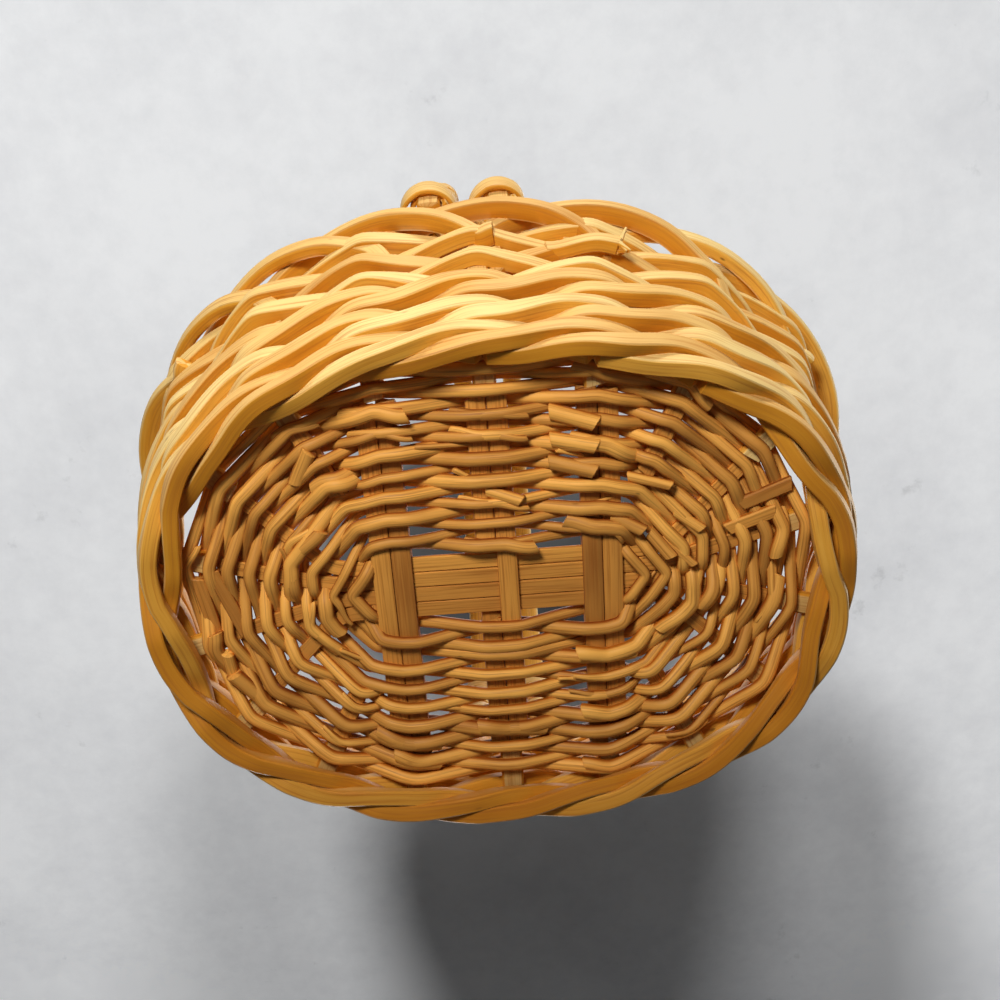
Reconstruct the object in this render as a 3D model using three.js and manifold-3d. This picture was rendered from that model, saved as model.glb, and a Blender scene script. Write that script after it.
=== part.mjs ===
import * as THREE from 'three';
import Module from 'manifold-3d';

// An oval gathering basket of peeled willow, in millimetres, +Z up, standing on its foot at z = 0.
// X runs along the oval. The hoop handle crosses the mouth over the middle of the long sides.

const wasm = await Module();
wasm.setup();

// Wall: the line that the stakes stand on, at the foot and at the rim
const footHalfLength = 131;
const footHalfWidth = 94.5;
const rimHalfLength = 155;
const rimHalfWidth = 134;
const basketHeight = 100;
const ovalPower = 2.3;
const stakeCount = 18;

// Side stakes and the border that they make
const stakeWidth = 8;
const stakeThickness = 4;
const borderSpan = 2.1;
const borderTurn = 160;
const borderGap = 0.9;
const stakeBend = 7;

// Wale: flat rods that pass before two stakes and behind the third
const waleRounds = 3;
const rodsPerRound = 3;
const bandWidth = 12;
const bandThickness = 4.6;
const bandGap = 0.4;
const waleClearance = 0.5;
const footLevel = 6.7;
const behindLevel = 0.3;
const turnShare = 0.15;
const stakeSideClearance = 1;
const stakeFootClearance = 0.7;
const buttGap = 1;

// Base
const slatCount = 4;
const slatWidth = 6.2;
const slatThickness = 2.2;
const slatGap = 0.3;
const crossWidth = 7.6;
const crossThickness = 6;
const pairGap = 0.4;
const slitClearance = 0.3;
const cornerWidth = 7.6;
const cornerThickness = 5;
const weaverDiameter = 5;
const weaverRounds = 12;
const innerRounds = 5;
const stakeRounds = 2;
const centreGap = 4;
const endReach = 60;
const fanStart = 66;
const baseGap = 7;
const weaveClearance = 0.4;
const weaveMargin = 2;

// Handle
const hoopDiameter = 12;
const hoopSpread = 14;
const hoopTop = 300;
const hoopFoot = 34;
const shoulderHeight = 165;
const shoulderHalfWidth = 140;
const hoopClearance = 0.1;
const ribbonWidth = 11;
const ribbonThickness = 1.8;
const ribbonPitch = 12;
const ribbonTurns = 5;
const ribbonStart = 106;
const ribbonClearance = 0.8;

// Values that follow from the sizes above
const levelStep = bandWidth + bandGap;
const waleOffset = stakeThickness / 2 + bandThickness / 2 + waleClearance;
const steepestLean = Math.atan((rimHalfWidth - footHalfWidth) / basketHeight);
const bandRise = (bandWidth * Math.cos(steepestLean) + bandThickness * Math.sin(steepestLean)) / 2;
const behindTop = footLevel + behindLevel * levelStep + waleOffset * Math.sin(steepestLean) + bandRise;
const baseHeight = behindTop + stakeFootClearance + stakeThickness / 2;
const waleTop = footLevel + (2 * waleRounds - 1) * levelStep + waleOffset * Math.sin(steepestLean) + bandRise;
const weaverRadius = weaverDiameter / 2;
const bundleHalfWidth = (slatCount * (slatWidth + slatGap) - slatGap) / 2;

const zAxis = new THREE.Vector3(0, 0, 1);
const willow = { roughness: 0.45, metalness: 0 };
const stakeMaterial = new THREE.MeshStandardMaterial({ color: 0xe0a552, ...willow });
const waleMaterial = new THREE.MeshStandardMaterial({ color: 0xe6ad58, ...willow });
const stickMaterial = new THREE.MeshStandardMaterial({ color: 0xb98342, ...willow });
const weaverMaterial = new THREE.MeshStandardMaterial({ color: 0xc08a45, ...willow });
const handleMaterial = new THREE.MeshStandardMaterial({ color: 0xd39a4e, ...willow });

const basket = new THREE.Group();

function addPiece(name, geometry, material) {
  geometry.computeVertexNormals();
  const mesh = new THREE.Mesh(geometry, material);
  mesh.name = name;
  basket.add(mesh);
}

// Joins a section along its stations. Each station has a centre and two directions, side and face.
function sweep(stations, section) {
  const positions = [];
  for (const station of stations) {
    for (const [across, out] of section) {
      const corner = station.centre.clone();
      corner.addScaledVector(station.side, across);
      corner.addScaledVector(station.face, out);
      positions.push(corner.x, corner.y, corner.z);
    }
  }
  const sides = section.length;
  const last = (stations.length - 1) * sides;
  const triangles = [];
  for (let ring = 0; ring < last; ring += sides) {
    for (let k = 0; k < sides; k++) {
      const a = ring + k;
      const b = ring + (k + 1) % sides;
      triangles.push(a, b, b + sides, a, b + sides, a + sides);
    }
  }
  for (let k = 1; k + 1 < sides; k++) {
    triangles.push(0, k + 1, k, last, last + k, last + k + 1);
  }
  const geometry = new THREE.BufferGeometry();
  geometry.setAttribute('position', new THREE.Float32BufferAttribute(positions, 3));
  geometry.setIndex(triangles);
  return geometry;
}

function flatSection(width, thickness) {
  const w = width / 2;
  const t = thickness / 2;
  return [[-w, -t], [w, -t], [w, t], [-w, t]];
}

function roundSection(diameter, sides) {
  const corners = [];
  for (let k = 0; k < sides; k++) {
    const angle = 2 * Math.PI * k / sides;
    corners.push([diameter / 2 * Math.cos(angle), diameter / 2 * Math.sin(angle)]);
  }
  return corners;
}

// Turns a route into stations. Each point of the route has a direction that its face looks towards.
function stationsAlong(route) {
  return route.map((step, i) => {
    const before = route[Math.max(i - 1, 0)].point;
    const after = route[Math.min(i + 1, route.length - 1)].point;
    const along = after.clone().sub(before).normalize();
    const side = step.towards.clone().cross(along).normalize();
    const face = along.clone().cross(side);
    return { centre: step.point, side, face };
  });
}

function toSolid(geometry) {
  const vertProperties = new Float32Array(geometry.getAttribute('position').array);
  const triVerts = new Uint32Array(geometry.getIndex().array);
  return new wasm.Manifold(new wasm.Mesh({ numProp: 3, vertProperties, triVerts }));
}

function toGeometry(solid) {
  const mesh = solid.getMesh();
  const geometry = new THREE.BufferGeometry();
  geometry.setAttribute('position', new THREE.Float32BufferAttribute(mesh.vertProperties, 3));
  geometry.setIndex(Array.from(mesh.triVerts));
  return geometry;
}

// A straight-sided block between two corners, as a sweep along X
function block(low, high) {
  const middleY = (low.y + high.y) / 2;
  const middleZ = (low.z + high.z) / 2;
  const stations = [low.x, high.x].map((x) => ({
    centre: new THREE.Vector3(x, middleY, middleZ),
    side: new THREE.Vector3(0, 1, 0),
    face: zAxis,
  }));
  return sweep(stations, flatSection(high.y - low.y, high.z - low.z));
}

// The wall's oval at a height
function wallOval(height) {
  const share = height / basketHeight;
  return {
    halfLength: THREE.MathUtils.lerp(footHalfLength, rimHalfLength, share),
    halfWidth: THREE.MathUtils.lerp(footHalfWidth, rimHalfWidth, share),
  };
}

function signedPower(value, power) {
  return Math.sign(value) * Math.abs(value) ** power;
}

function ovalPoint(angle, height) {
  const oval = wallOval(height);
  const x = oval.halfLength * signedPower(Math.cos(angle), 2 / ovalPower);
  const y = oval.halfWidth * signedPower(Math.sin(angle), 2 / ovalPower);
  return new THREE.Vector3(x, y, height);
}

function ovalNormal(angle, height) {
  const oval = wallOval(height);
  const power = 2 - 2 / ovalPower;
  const x = signedPower(Math.cos(angle), power) / oval.halfLength;
  const y = signedPower(Math.sin(angle), power) / oval.halfWidth;
  return new THREE.Vector3(x, y, 0).normalize();
}

// Lengths along the foot oval, from the middle of the front, so that the stakes stand equally far apart
const ovalSteps = 3600;
const ovalLengths = [0];
for (let i = 1; i <= ovalSteps; i++) {
  const before = ovalPoint(2 * Math.PI * (i - 1) / ovalSteps - Math.PI / 2, 0);
  const here = ovalPoint(2 * Math.PI * i / ovalSteps - Math.PI / 2, 0);
  ovalLengths.push(ovalLengths[i - 1] + here.distanceTo(before));
}
const stakePitch = ovalLengths[ovalSteps] / stakeCount;

function stakeAngle(place) {
  const target = THREE.MathUtils.euclideanModulo(place, stakeCount) * stakePitch;
  let low = 0;
  let high = ovalSteps;
  while (high - low > 1) {
    const middle = Math.floor((low + high) / 2);
    if (ovalLengths[middle] > target) {
      high = middle;
    } else {
      low = middle;
    }
  }
  const share = (target - ovalLengths[low]) / (ovalLengths[high] - ovalLengths[low]);
  return 2 * Math.PI * (low + share) / ovalSteps - Math.PI / 2;
}

// A point of the wall, counted in stakes round it, with the wall's own outward and upward directions
function wallFrame(place, height) {
  const angle = stakeAngle(place);
  const point = ovalPoint(angle, height);
  const normal = ovalNormal(angle, height);
  const flare = ovalPoint(angle, height + 1).sub(point).dot(normal);
  const out = normal.clone().addScaledVector(zAxis, -flare).normalize();
  const up = zAxis.clone().addScaledVector(normal, flare).normalize();
  return { point, out, up };
}

// Rounds of the base: straight sides with round ends
const outerRadius = wallOval(baseHeight).halfWidth - waleOffset - bandThickness / 2 - weaverRadius - baseGap;
const outerReach = wallOval(baseHeight).halfLength - waleOffset - bandThickness / 2 - weaverRadius - baseGap;
const innerRadius = bundleHalfWidth + centreGap + weaverRadius;

function baseRound(index) {
  const share = index / (weaverRounds - 1);
  const radius = THREE.MathUtils.lerp(innerRadius, outerRadius, share);
  const reach = THREE.MathUtils.lerp(endReach, outerReach, share);
  return { radius, straight: reach - radius, length: 4 * (reach - radius) + 2 * Math.PI * radius };
}

function roundPoint(round, distance) {
  const { radius, straight, length } = round;
  const half = length / 2;
  const d = THREE.MathUtils.euclideanModulo(distance + straight, length);
  const mirror = d >= half ? -1 : 1;
  const run = d % half;
  if (run < 2 * straight) {
    return new THREE.Vector2(mirror * (run - straight), -mirror * radius);
  }
  const angle = (run - 2 * straight) / radius - Math.PI / 2;
  return new THREE.Vector2(mirror * (straight + radius * Math.cos(angle)), mirror * radius * Math.sin(angle));
}

function roundDistance(round, point) {
  const { radius, straight, length } = round;
  if (Math.abs(point.x) <= straight) {
    return THREE.MathUtils.euclideanModulo(point.y < 0 ? point.x : length / 2 - point.x, length);
  }
  const mirror = Math.sign(point.x);
  const angle = Math.atan2(mirror * point.y, Math.abs(point.x) - straight) + Math.PI / 2;
  return straight + radius * angle + (mirror < 0 ? length / 2 : 0);
}

// Spokes that the rounds pass over and under, one to each stake
const quarter = stakeCount / 2;
const cornerPlaces = [2, quarter - 2, quarter + 2, stakeCount - 2];

function spokeKind(place) {
  const fromMiddle = Math.min(place % quarter, quarter - place % quarter);
  if (fromMiddle < 2) {
    return 'cross';
  }
  return cornerPlaces.includes(place) ? 'corner' : 'slat';
}

// The line of a spoke in plan, from the middle of the base to the foot of its stake
function spokeLine(place) {
  const foot = wallFrame(place, baseHeight).point;
  const end = new THREE.Vector2(foot.x, foot.y);
  const kind = spokeKind(place);
  if (kind === 'cross') {
    return { start: new THREE.Vector2(end.x, 0), end };
  }
  if (kind === 'corner') {
    return { start: new THREE.Vector2(Math.sign(end.x) * baseRound(innerRounds).straight, 0), end };
  }
  const order = (place % quarter) - 3;
  const sign = Math.sign(end.x);
  const y = ((order + 0.5) * (slatWidth + slatGap) - bundleHalfWidth - slatGap / 2) * sign;
  return { start: new THREE.Vector2(sign * fanStart, y), end };
}

// Where a spoke crosses a round, on its line or on the straight stretch before that
function crossing(line, round) {
  const reach = (point) => Math.hypot(Math.max(Math.abs(point.x) - round.straight, 0), point.y);
  const onLine = reach(line.start) < round.radius;
  const inside = onLine ? line.start.clone() : new THREE.Vector2(0, line.start.y);
  const outside = onLine ? line.end.clone() : line.start.clone();
  for (let i = 0; i < 40; i++) {
    const middle = inside.clone().lerp(outside, 0.5);
    if (reach(middle) < round.radius) {
      inside.copy(middle);
    } else {
      outside.copy(middle);
    }
  }
  return inside;
}

const spokeSizes = {
  cross: { width: 2 * crossWidth + pairGap, thickness: crossThickness },
  corner: { width: cornerWidth, thickness: cornerThickness },
  slat: { width: slatWidth, thickness: slatThickness },
  stake: { width: stakeWidth, thickness: stakeThickness },
};
const firstStakeRound = weaverRounds - stakeRounds;

// The spokes of a round in order, each as the stretch of the round that lies over or under it
function spokesOfRound(index) {
  const round = baseRound(index);
  const spokes = [];
  for (let place = 0; place < stakeCount; place++) {
    const kind = index < firstStakeRound ? spokeKind(place) : 'stake';
    const middle = roundDistance(round, crossing(spokeLine(place), round));
    const { width, thickness } = spokeSizes[kind];
    const half = width / 2 + weaveMargin;
    const lift = thickness / 2 + weaverRadius + weaveClearance;
    spokes.push({ kind, from: middle - half, to: middle + half, lift });
  }
  if (index >= innerRounds) {
    return spokes;
  }
  const bundles = [];
  for (const spoke of spokes) {
    const previous = bundles[bundles.length - 1];
    if (spoke.kind === 'slat' && previous.kind === 'slat') {
      previous.to = spoke.to;
    } else if (spoke.kind !== 'corner') {
      bundles.push({ ...spoke });
    }
  }
  return bundles;
}

function addBaseWeaver(index) {
  const round = baseRound(index);
  const spokes = spokesOfRound(index);
  const first = (index + 1) % 2;
  const steps = [];
  for (let k = 0; k <= spokes.length; k++) {
    const spoke = spokes[(first + k) % spokes.length];
    const wrap = first + k >= spokes.length ? round.length : 0;
    const level = baseHeight + (k % 2 === 0 ? spoke.lift : -spoke.lift);
    const middle = (spoke.from + spoke.to) / 2;
    const from = k === 0 ? middle + buttGap / 2 : spoke.from;
    const to = k === spokes.length ? middle - buttGap / 2 : spoke.to;
    if (steps.length > 0) {
      const before = steps[steps.length - 1];
      steps.push({ distance: (before.distance + from + wrap) / 2, level: (before.level + level) / 2 });
    }
    steps.push({ distance: from + wrap, level });
    if (to - from > 2 * spokeSizes.cross.width) {
      steps.push({ distance: middle + wrap, level });
    }
    steps.push({ distance: to + wrap, level });
  }
  const route = steps.map(({ distance, level }) => {
    const plan = roundPoint(round, distance);
    return { point: new THREE.Vector3(plan.x, plan.y, level), towards: zAxis };
  });
  const name = `base_weaver_${String(index + 1).padStart(2, '0')}`;
  addPiece(name, sweep(stationsAlong(route), roundSection(weaverDiameter, 5)), weaverMaterial);
}

// A round half way between two rounds, where the sticks end and the stakes begin
function betweenRounds(index) {
  return baseRound(index - 0.5);
}

function addSlat(order) {
  const outer = betweenRounds(firstStakeRound);
  const right = spokeLine(3 + order);
  const left = spokeLine(stakeCount - 3 - order);
  const plan = [crossing(left, outer), left.start, right.start, crossing(right, outer)];
  const route = plan.map((point) => ({
    point: new THREE.Vector3(point.x, point.y, baseHeight),
    towards: zAxis,
  }));
  const geometry = sweep(stationsAlong(route), flatSection(slatWidth, slatThickness));
  addPiece(`base_slat_${order + 1}`, geometry, stickMaterial);
}

function addCrossStick(name, place, side) {
  const outer = betweenRounds(firstStakeRound);
  const line = spokeLine(place);
  const x = line.end.x + side * (crossWidth + pairGap) / 2;
  const outerEdge = x + side * crossWidth / 2;
  const edge = { start: new THREE.Vector2(outerEdge, 0), end: new THREE.Vector2(outerEdge, line.end.y) };
  const halfLength = -crossing(edge, outer).y;
  const halfSlit = bundleHalfWidth + slitClearance;
  const stick = block(
    new THREE.Vector3(x - crossWidth / 2, -halfLength, baseHeight - crossThickness / 2),
    new THREE.Vector3(x + crossWidth / 2, halfLength, baseHeight + crossThickness / 2),
  );
  const slitHeight = slatThickness / 2 + slitClearance;
  const slit = block(
    new THREE.Vector3(x - crossWidth, -halfSlit, baseHeight - slitHeight),
    new THREE.Vector3(x + crossWidth, halfSlit, baseHeight + slitHeight),
  );
  addPiece(name, toGeometry(toSolid(stick).subtract(toSolid(slit))), stickMaterial);
}

function addCornerStick(place, order) {
  const line = spokeLine(place);
  const ends = [betweenRounds(innerRounds), betweenRounds(firstStakeRound)];
  const route = ends.map((round) => {
    const plan = crossing(line, round);
    return { point: new THREE.Vector3(plan.x, plan.y, baseHeight), towards: zAxis };
  });
  const geometry = sweep(stationsAlong(route), flatSection(cornerWidth, cornerThickness));
  addPiece(`corner_stick_${order + 1}`, geometry, stickMaterial);
}

// One stake: out of the base, up the wall and over the next two stakes as a border loop
function addStake(place) {
  const line = spokeLine(place);
  const inner = crossing(line, betweenRounds(firstStakeRound));
  const outwards = line.end.clone().sub(inner).normalize();
  const below = zAxis.clone().negate();
  const foot = wallFrame(place, baseHeight);
  const bendStart = foot.point.clone();
  bendStart.x -= outwards.x * stakeBend;
  bendStart.y -= outwards.y * stakeBend;
  const start = new THREE.Vector3(inner.x, inner.y, baseHeight);
  start.x += outwards.x * weaveClearance;
  start.y += outwards.y * weaveClearance;
  const bendEnd = wallFrame(place, baseHeight + stakeBend);
  const bend = new THREE.QuadraticBezierCurve3(bendStart, foot.point, bendEnd.point);
  const route = [{ point: start, towards: below }];
  for (const share of [0, 0.5, 1]) {
    route.push({ point: bend.getPoint(share), towards: below.clone().lerp(bendEnd.out, share) });
  }
  const archBase = waleTop + bandGap;
  const apex = basketHeight - stakeWidth / 2;
  const archSteps = 7;
  for (let i = 0; i <= archSteps; i++) {
    const turn = THREE.MathUtils.degToRad(borderTurn) * i / archSteps;
    const passed = borderSpan / 2 * (1 - Math.cos(turn));
    const frame = wallFrame(place + passed, archBase + (apex - archBase) * Math.sin(turn));
    frame.point.addScaledVector(frame.out, passed * (stakeThickness + borderGap));
    route.push({ point: frame.point, towards: frame.out });
  }
  const name = `stake_${String(place + 1).padStart(2, '0')}`;
  addPiece(name, sweep(stationsAlong(route), flatSection(stakeWidth, stakeThickness)), stakeMaterial);
}

// Bends of a wale rod between two stakes: how far along, which side of the stakes and which level
const near = (stakeWidth / 2 + stakeSideClearance) / stakePitch;
const far = near + turnShare;
const strokes = [
  [[near, -1, behindLevel], [far, -1, 0], [1 - far, 0, 0], [1 - near, 1, 0]],
  [[near, 1, 0], [far, 1, 0], [1 - far, 1, 1], [1 - near, 1, 1]],
  [[near, 1, 1], [far, 0, 1], [1 - far, -1, 1], [1 - near, -1, behindLevel]],
];

// Everything below the surface that the basket stands on
const ground = block(
  new THREE.Vector3(-2 * rimHalfLength, -2 * rimHalfWidth, -basketHeight),
  new THREE.Vector3(2 * rimHalfLength, 2 * rimHalfWidth, 0),
);

function addWaleRod(round, rod) {
  const bends = [];
  bends.push([rod + buttGap / 2 / stakePitch, -1, behindLevel]);
  for (let interval = 0; interval < stakeCount; interval++) {
    for (const [share, side, level] of strokes[interval % rodsPerRound]) {
      bends.push([rod + interval + share, side, level]);
    }
  }
  bends.push([rod + stakeCount - buttGap / 2 / stakePitch, -1, behindLevel]);
  const stations = bends.map(([place, side, level]) => {
    const frame = wallFrame(place, footLevel + (2 * round + level) * levelStep);
    frame.point.addScaledVector(frame.out, side * waleOffset);
    return { centre: frame.point, side: frame.up, face: frame.out };
  });
  const rodShape = sweep(stations, flatSection(bandWidth, bandThickness));
  const geometry = round === 0 ? toGeometry(toSolid(rodShape).subtract(toSolid(ground))) : rodShape;
  const roundNames = ['foot', 'middle', 'upper'];
  addPiece(`wale_${roundNames[round]}_${rod + 1}`, geometry, waleMaterial);
}

// The middle line of one hoop: up the inside of the wall, out over the rim and across in an arch
function hoopCurve(side) {
  const inset = waleOffset + bandThickness / 2 + hoopClearance + hoopDiameter / 2;
  const place = side * hoopSpread / stakePitch;
  const half = [hoopFoot, (hoopFoot + basketHeight) / 2, basketHeight].map((height) => {
    const frame = wallFrame(place, height);
    return frame.point.addScaledVector(frame.out, -inset);
  });
  const archRise = hoopTop - hoopDiameter / 2 - shoulderHeight;
  for (const degrees of [0, 20, 40, 65, 90]) {
    const angle = THREE.MathUtils.degToRad(degrees);
    const y = -shoulderHalfWidth * Math.cos(angle);
    half.push(new THREE.Vector3(half[2].x, y, shoulderHeight + archRise * Math.sin(angle)));
  }
  const back = half.slice(0, -1).reverse().map((p) => new THREE.Vector3(p.x, -p.y, p.z));
  return new THREE.CatmullRomCurve3([...half, ...back], false, 'centripetal');
}

function addHoop(name, curve) {
  const hoopSteps = 48;
  const route = curve.getPoints(hoopSteps).map((point) => ({ point, towards: new THREE.Vector3(1, 0, 0) }));
  addPiece(name, sweep(stationsAlong(route), roundSection(hoopDiameter, 7)), handleMaterial);
}

// A ribbon wound round one foot of a hoop, upwards from just above the rim. The back one mirrors the front one.
function addWrap(name, curve, mirror) {
  const radius = hoopDiameter / 2 + ribbonClearance + ribbonThickness / 2;
  const total = curve.getLength();
  const fineSteps = 400;
  const startStep = curve.getSpacedPoints(fineSteps).findIndex((point) => point.z > ribbonStart);
  const startLength = total * startStep / fineSteps;
  const stepsPerTurn = 10;
  const flip = new THREE.Vector3(1, mirror, 1);
  const stations = [];
  for (let i = 0; i <= ribbonTurns * stepsPerTurn; i++) {
    const turns = i / stepsPerTurn;
    const share = (startLength + turns * ribbonPitch) / total;
    const along = curve.getTangentAt(share);
    const across = new THREE.Vector3(1, 0, 0);
    const outwards = along.clone().cross(across).normalize();
    const angle = 2 * Math.PI * turns;
    const face = outwards.multiplyScalar(Math.cos(angle)).addScaledVector(across, Math.sin(angle));
    const centre = curve.getPointAt(share).addScaledVector(face, radius);
    stations.push({
      centre: centre.multiply(flip),
      side: along.multiply(flip).multiplyScalar(-mirror),
      face: face.multiply(flip),
    });
  }
  addPiece(name, sweep(stations, flatSection(ribbonWidth, ribbonThickness)), handleMaterial);
}

for (let order = 0; order < slatCount; order++) {
  addSlat(order);
}
for (const [label, place] of [['left', stakeCount - 1], ['middle', 0], ['right', 1]]) {
  addCrossStick(`cross_stick_${label}_1`, place, -1);
  addCrossStick(`cross_stick_${label}_2`, place, 1);
}
cornerPlaces.forEach((place, order) => addCornerStick(place, order));
for (let index = 0; index < weaverRounds; index++) {
  addBaseWeaver(index);
}
for (let place = 0; place < stakeCount; place++) {
  addStake(place);
}
for (let round = 0; round < waleRounds; round++) {
  for (let rod = 0; rod < rodsPerRound; rod++) {
    addWaleRod(round, rod);
  }
}
for (const [label, side] of [['left', -1], ['right', 1]]) {
  const curve = hoopCurve(side);
  addHoop(`handle_hoop_${label}`, curve);
  addWrap(`handle_wrap_${label}_front`, curve, 1);
  addWrap(`handle_wrap_${label}_back`, curve, -1);
}

export default basket;
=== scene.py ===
import math
import bpy
import numpy as np
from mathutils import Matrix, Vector


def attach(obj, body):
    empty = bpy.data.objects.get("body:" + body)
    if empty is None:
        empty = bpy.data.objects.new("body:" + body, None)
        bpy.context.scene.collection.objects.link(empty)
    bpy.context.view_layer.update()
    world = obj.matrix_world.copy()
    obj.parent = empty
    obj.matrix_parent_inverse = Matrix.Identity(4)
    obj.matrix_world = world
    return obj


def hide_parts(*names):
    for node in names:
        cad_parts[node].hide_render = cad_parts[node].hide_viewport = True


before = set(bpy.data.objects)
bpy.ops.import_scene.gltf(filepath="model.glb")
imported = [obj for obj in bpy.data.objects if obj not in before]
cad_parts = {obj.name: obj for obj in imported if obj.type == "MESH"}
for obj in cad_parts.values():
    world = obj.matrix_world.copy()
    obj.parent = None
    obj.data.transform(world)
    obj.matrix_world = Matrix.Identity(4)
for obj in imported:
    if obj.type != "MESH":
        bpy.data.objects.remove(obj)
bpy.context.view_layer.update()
print("frame loaded")

rng = np.random.default_rng(830)
zUp = np.array([0.0, 0.0, 1.0])

# lengths of the basket are in millimetres, as a basket maker would note them
metres = 0.001
wall = {
    "footLength": 131.0, "footWidth": 94.5,  # half sizes at the ground
    "rimLength": 155.0, "rimWidth": 134.0,  # half sizes at the rim
    "height": 100.0,
    "roundness": 2.3,
    "stakes": 18,
    "baseLevel": 21.3,
    "waleTop": 76.9,
}


def unit(v):
    return v / np.maximum(np.linalg.norm(v, axis=-1, keepdims=True), 1e-12)


def signedPower(v, power):
    return np.sign(v) * np.abs(v) ** power


# half length and half width of the oval at a height
def halfSizes(height):
    share = height / wall["height"]
    return (wall["footLength"] + (wall["rimLength"] - wall["footLength"]) * share,
            wall["footWidth"] + (wall["rimWidth"] - wall["footWidth"]) * share)


def ovalPoint(angle, height):
    a, b = halfSizes(height)
    x = a * signedPower(np.cos(angle), 2 / wall["roundness"])
    y = b * signedPower(np.sin(angle), 2 / wall["roundness"])
    return np.stack([x, y, height + 0 * x], axis=-1)


def ovalNormal(angle, height):
    a, b = halfSizes(height)
    power = 2 - 2 / wall["roundness"]
    x = signedPower(np.cos(angle), power) / a
    y = signedPower(np.sin(angle), power) / b
    return unit(np.stack([x, y, 0 * x], axis=-1))


# length run along a row of points
def runOf(points):
    return np.concatenate([[0], np.cumsum(np.linalg.norm(np.diff(points, axis=0), axis=1))])


ovalAngles = np.linspace(-math.pi / 2, 1.5 * math.pi, 3601)
ovalRun = runOf(ovalPoint(ovalAngles, 0 * ovalAngles))
stakePitch = ovalRun[-1] / wall["stakes"]


def stakeAngle(place):
    return np.interp(np.mod(place, wall["stakes"]) * stakePitch, ovalRun, ovalAngles)


# a point of the wall, counted in stakes round it, with the wall's own outward and upward directions
def wallFrame(place, height):
    place, height = np.broadcast_arrays(np.asarray(place, float), np.asarray(height, float))
    angle = stakeAngle(place)
    point = ovalPoint(angle, height)
    normal = ovalNormal(angle, height)
    flare = np.sum((ovalPoint(angle, height + 1) - point) * normal, axis=-1, keepdims=True)
    return point, unit(normal - zUp * flare), unit(zUp + normal * flare)


def blur(values, sigma):
    reach = int(3 * sigma) + 1
    kernel = np.exp(-0.5 * (np.arange(-reach, reach + 1) / sigma) ** 2)
    kernel /= kernel.sum()
    return np.convolve(np.pad(values, reach, mode="edge"), kernel, mode="valid")


def blurRoute(points, sigma):
    return np.stack([blur(points[:, i], sigma) for i in range(points.shape[1])], axis=1)


def step(a, b, x):
    t = np.clip((x - a) / (b - a), 0, 1)
    return t * t * (3 - 2 * t)


# slow wander of a hand-laid rod, in units of its amplitude
def wander(run, wave):
    total = 0 * run
    for octave in (1.0, 2.3):
        total = total + np.sin(2 * math.pi * (run / wave * octave + rng.random())) / octave ** 0.7
    return total * 0.6


# cut sections: width across, depth out, both from -0.5 to 0.5
def roundShape(count):
    angle = 2 * math.pi * np.arange(count) / count
    return 0.5 * np.stack([np.cos(angle), np.sin(angle)], axis=1)


# a shaved rod: four faces, slightly crowned, with its corners taken off
def shavedShape(across, out, crown=0.04):
    a, b = 0.5 - across, 0.5 - out
    return np.array([(0.5, -b), (0.5 + crown * 0.6, 0), (0.5, b), (a, 0.5), (0, 0.5 + crown), (-a, 0.5),
                     (-0.5, b), (-0.5 - crown * 0.6, 0), (-0.5, -b), (-a, -0.5), (0, -0.5 - crown), (a, -0.5)])


# one rod: a flat grid rolled round its route, its ends closed by cut faces
def rollRod(points, towards, width, thickness, shape, slant=0.0, inside=1.0):
    points = np.asarray(points, float)
    n, k = len(points), len(shape)
    along = unit(np.gradient(points, axis=0))
    side = unit(np.cross(towards, along))
    face = np.cross(along, side)
    width = np.broadcast_to(width, (n,))
    thickness = np.broadcast_to(thickness, (n,))
    spread = (side[:, None] * (shape[:, 0] * width[:, None])[..., None]
              + face[:, None] * (shape[:, 1] * thickness[:, None])[..., None])
    body = points[:, None] + spread
    for end, sign in ((0, -1), (-1, 1)):
        lean = slant * shape[:, 0:1] * width[end]
        body[end] = body[end] + sign * along[end] * lean
    chamfer, taper = 0.3, 0.14  # of the cut ends
    caps = []
    for end, sign in ((0, -1), (-1, 1)):
        rim = body[end] - taper * spread[end] + sign * along[end] * chamfer
        pole = np.repeat(rim.mean(axis=0)[None], k, axis=0)
        caps.append([pole, rim])
    rings = np.concatenate([np.stack(caps[0]), body, np.stack(caps[1][::-1])])
    rings = np.concatenate([rings, rings[:, :1]], axis=1)  # the seam column
    rows = len(rings)
    bpy.ops.object.select_all(action="DESELECT")
    bpy.ops.mesh.primitive_grid_add(x_subdivisions=k, y_subdivisions=rows - 1, size=1)
    rod = bpy.context.active_object
    mesh = rod.data
    mesh.vertices.foreach_set("co", (rings.reshape(-1, 3) * metres).astype(np.float32).ravel())
    run = runOf(points)
    run = np.concatenate([[-2 * chamfer, -chamfer], run, [run[-1] + chamfer, run[-1] + 2 * chamfer]])
    girth = runOf(rings[n // 2 + 2])
    corner = np.empty(len(mesh.loops), dtype=np.int32)
    mesh.loops.foreach_get("vertex_index", corner)
    grain = np.stack([girth[corner % (k + 1)], run[corner // (k + 1)]], axis=1) * metres
    grain += rng.random(2) * 3
    mesh.uv_layers[0].name = "grain"
    mesh.uv_layers[0].data.foreach_set("uv", grain.astype(np.float32).ravel())
    tone = mesh.attributes.new("tone", "FLOAT", "POINT")
    tone.data.foreach_set("value", np.full(len(mesh.vertices), rng.random(), dtype=np.float32))
    skin = mesh.attributes.new("skin", "FLOAT", "POINT")  # how far out: outward faces are paler, partly the smoother outer skin and partly a painted highlight; the flanks are darker as painted shade between rods
    outer = np.append(shape[:, 1], shape[0, 1])
    outer = np.maximum(outer, -inside * outer)
    skin.data.foreach_set("value", np.tile(outer, rows).astype(np.float32))
    return rod


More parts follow.
